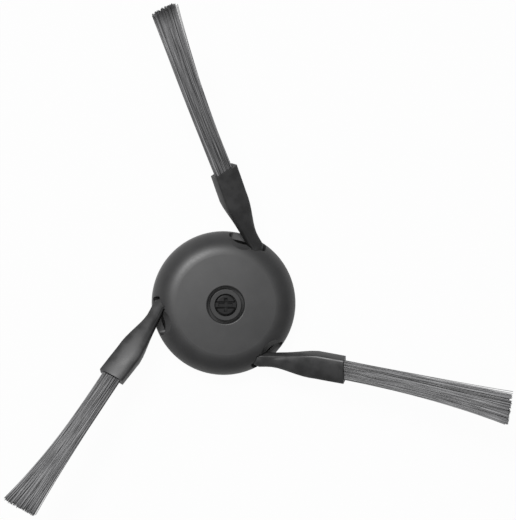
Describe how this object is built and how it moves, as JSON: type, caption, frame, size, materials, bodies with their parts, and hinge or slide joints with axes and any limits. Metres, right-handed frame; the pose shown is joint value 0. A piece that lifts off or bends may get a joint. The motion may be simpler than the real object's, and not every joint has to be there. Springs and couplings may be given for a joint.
{
  "type": "robot vacuum side brush",
  "caption": "Side brush for a robot vacuum: a domed hub with swept rubber arms, each ending in a flat fanned tuft of bristles, held by a captive screw.",
  "frame": {"origin": "on the hub's axis at its back face, where the brush meets the robot", "axes": "+Z along the hub's axis towards the dome and the screw head; the first arm's root is on +X and the arms sweep counter-clockwise seen from +Z"},
  "size_m": [0.1456, 0.1381, 0.0316],
  "materials": {
    "hub_plastic": "satin charcoal, fine moulded grain",
    "base_plastic": "satin charcoal",
    "arm_rubber": "matt charcoal rubber",
    "bristle_nylon": "grey-black nylon filament",
    "screw_steel": "black passivated steel",
    "washer_nylon": "natural nylon"
  },
  "bodies": {
    "hub": {"hub_cover": "hub_plastic", "hub_base": "base_plastic", "arm_1": "arm_rubber", "arm_2": "arm_rubber", "arm_3": "arm_rubber", "bristle_tuft_1": "bristle_nylon", "bristle_tuft_2": "bristle_nylon", "bristle_tuft_3": "bristle_nylon"},
    "washer": {"retaining_washer": "washer_nylon"},
    "screw": {"mounting_screw": "screw_steel"}
  },
  "joints": [
    {"name": "screw_lift", "type": "slide", "parent": "hub", "child": "washer", "axis": [0, 0, 1], "range_m": [0, 0.002]},
    {"name": "screw_turn", "type": "hinge", "parent": "washer", "child": "screw", "pos_m": [0, 0, 0.0105], "axis": [0, 0, 1], "continuous": true}
  ]
}
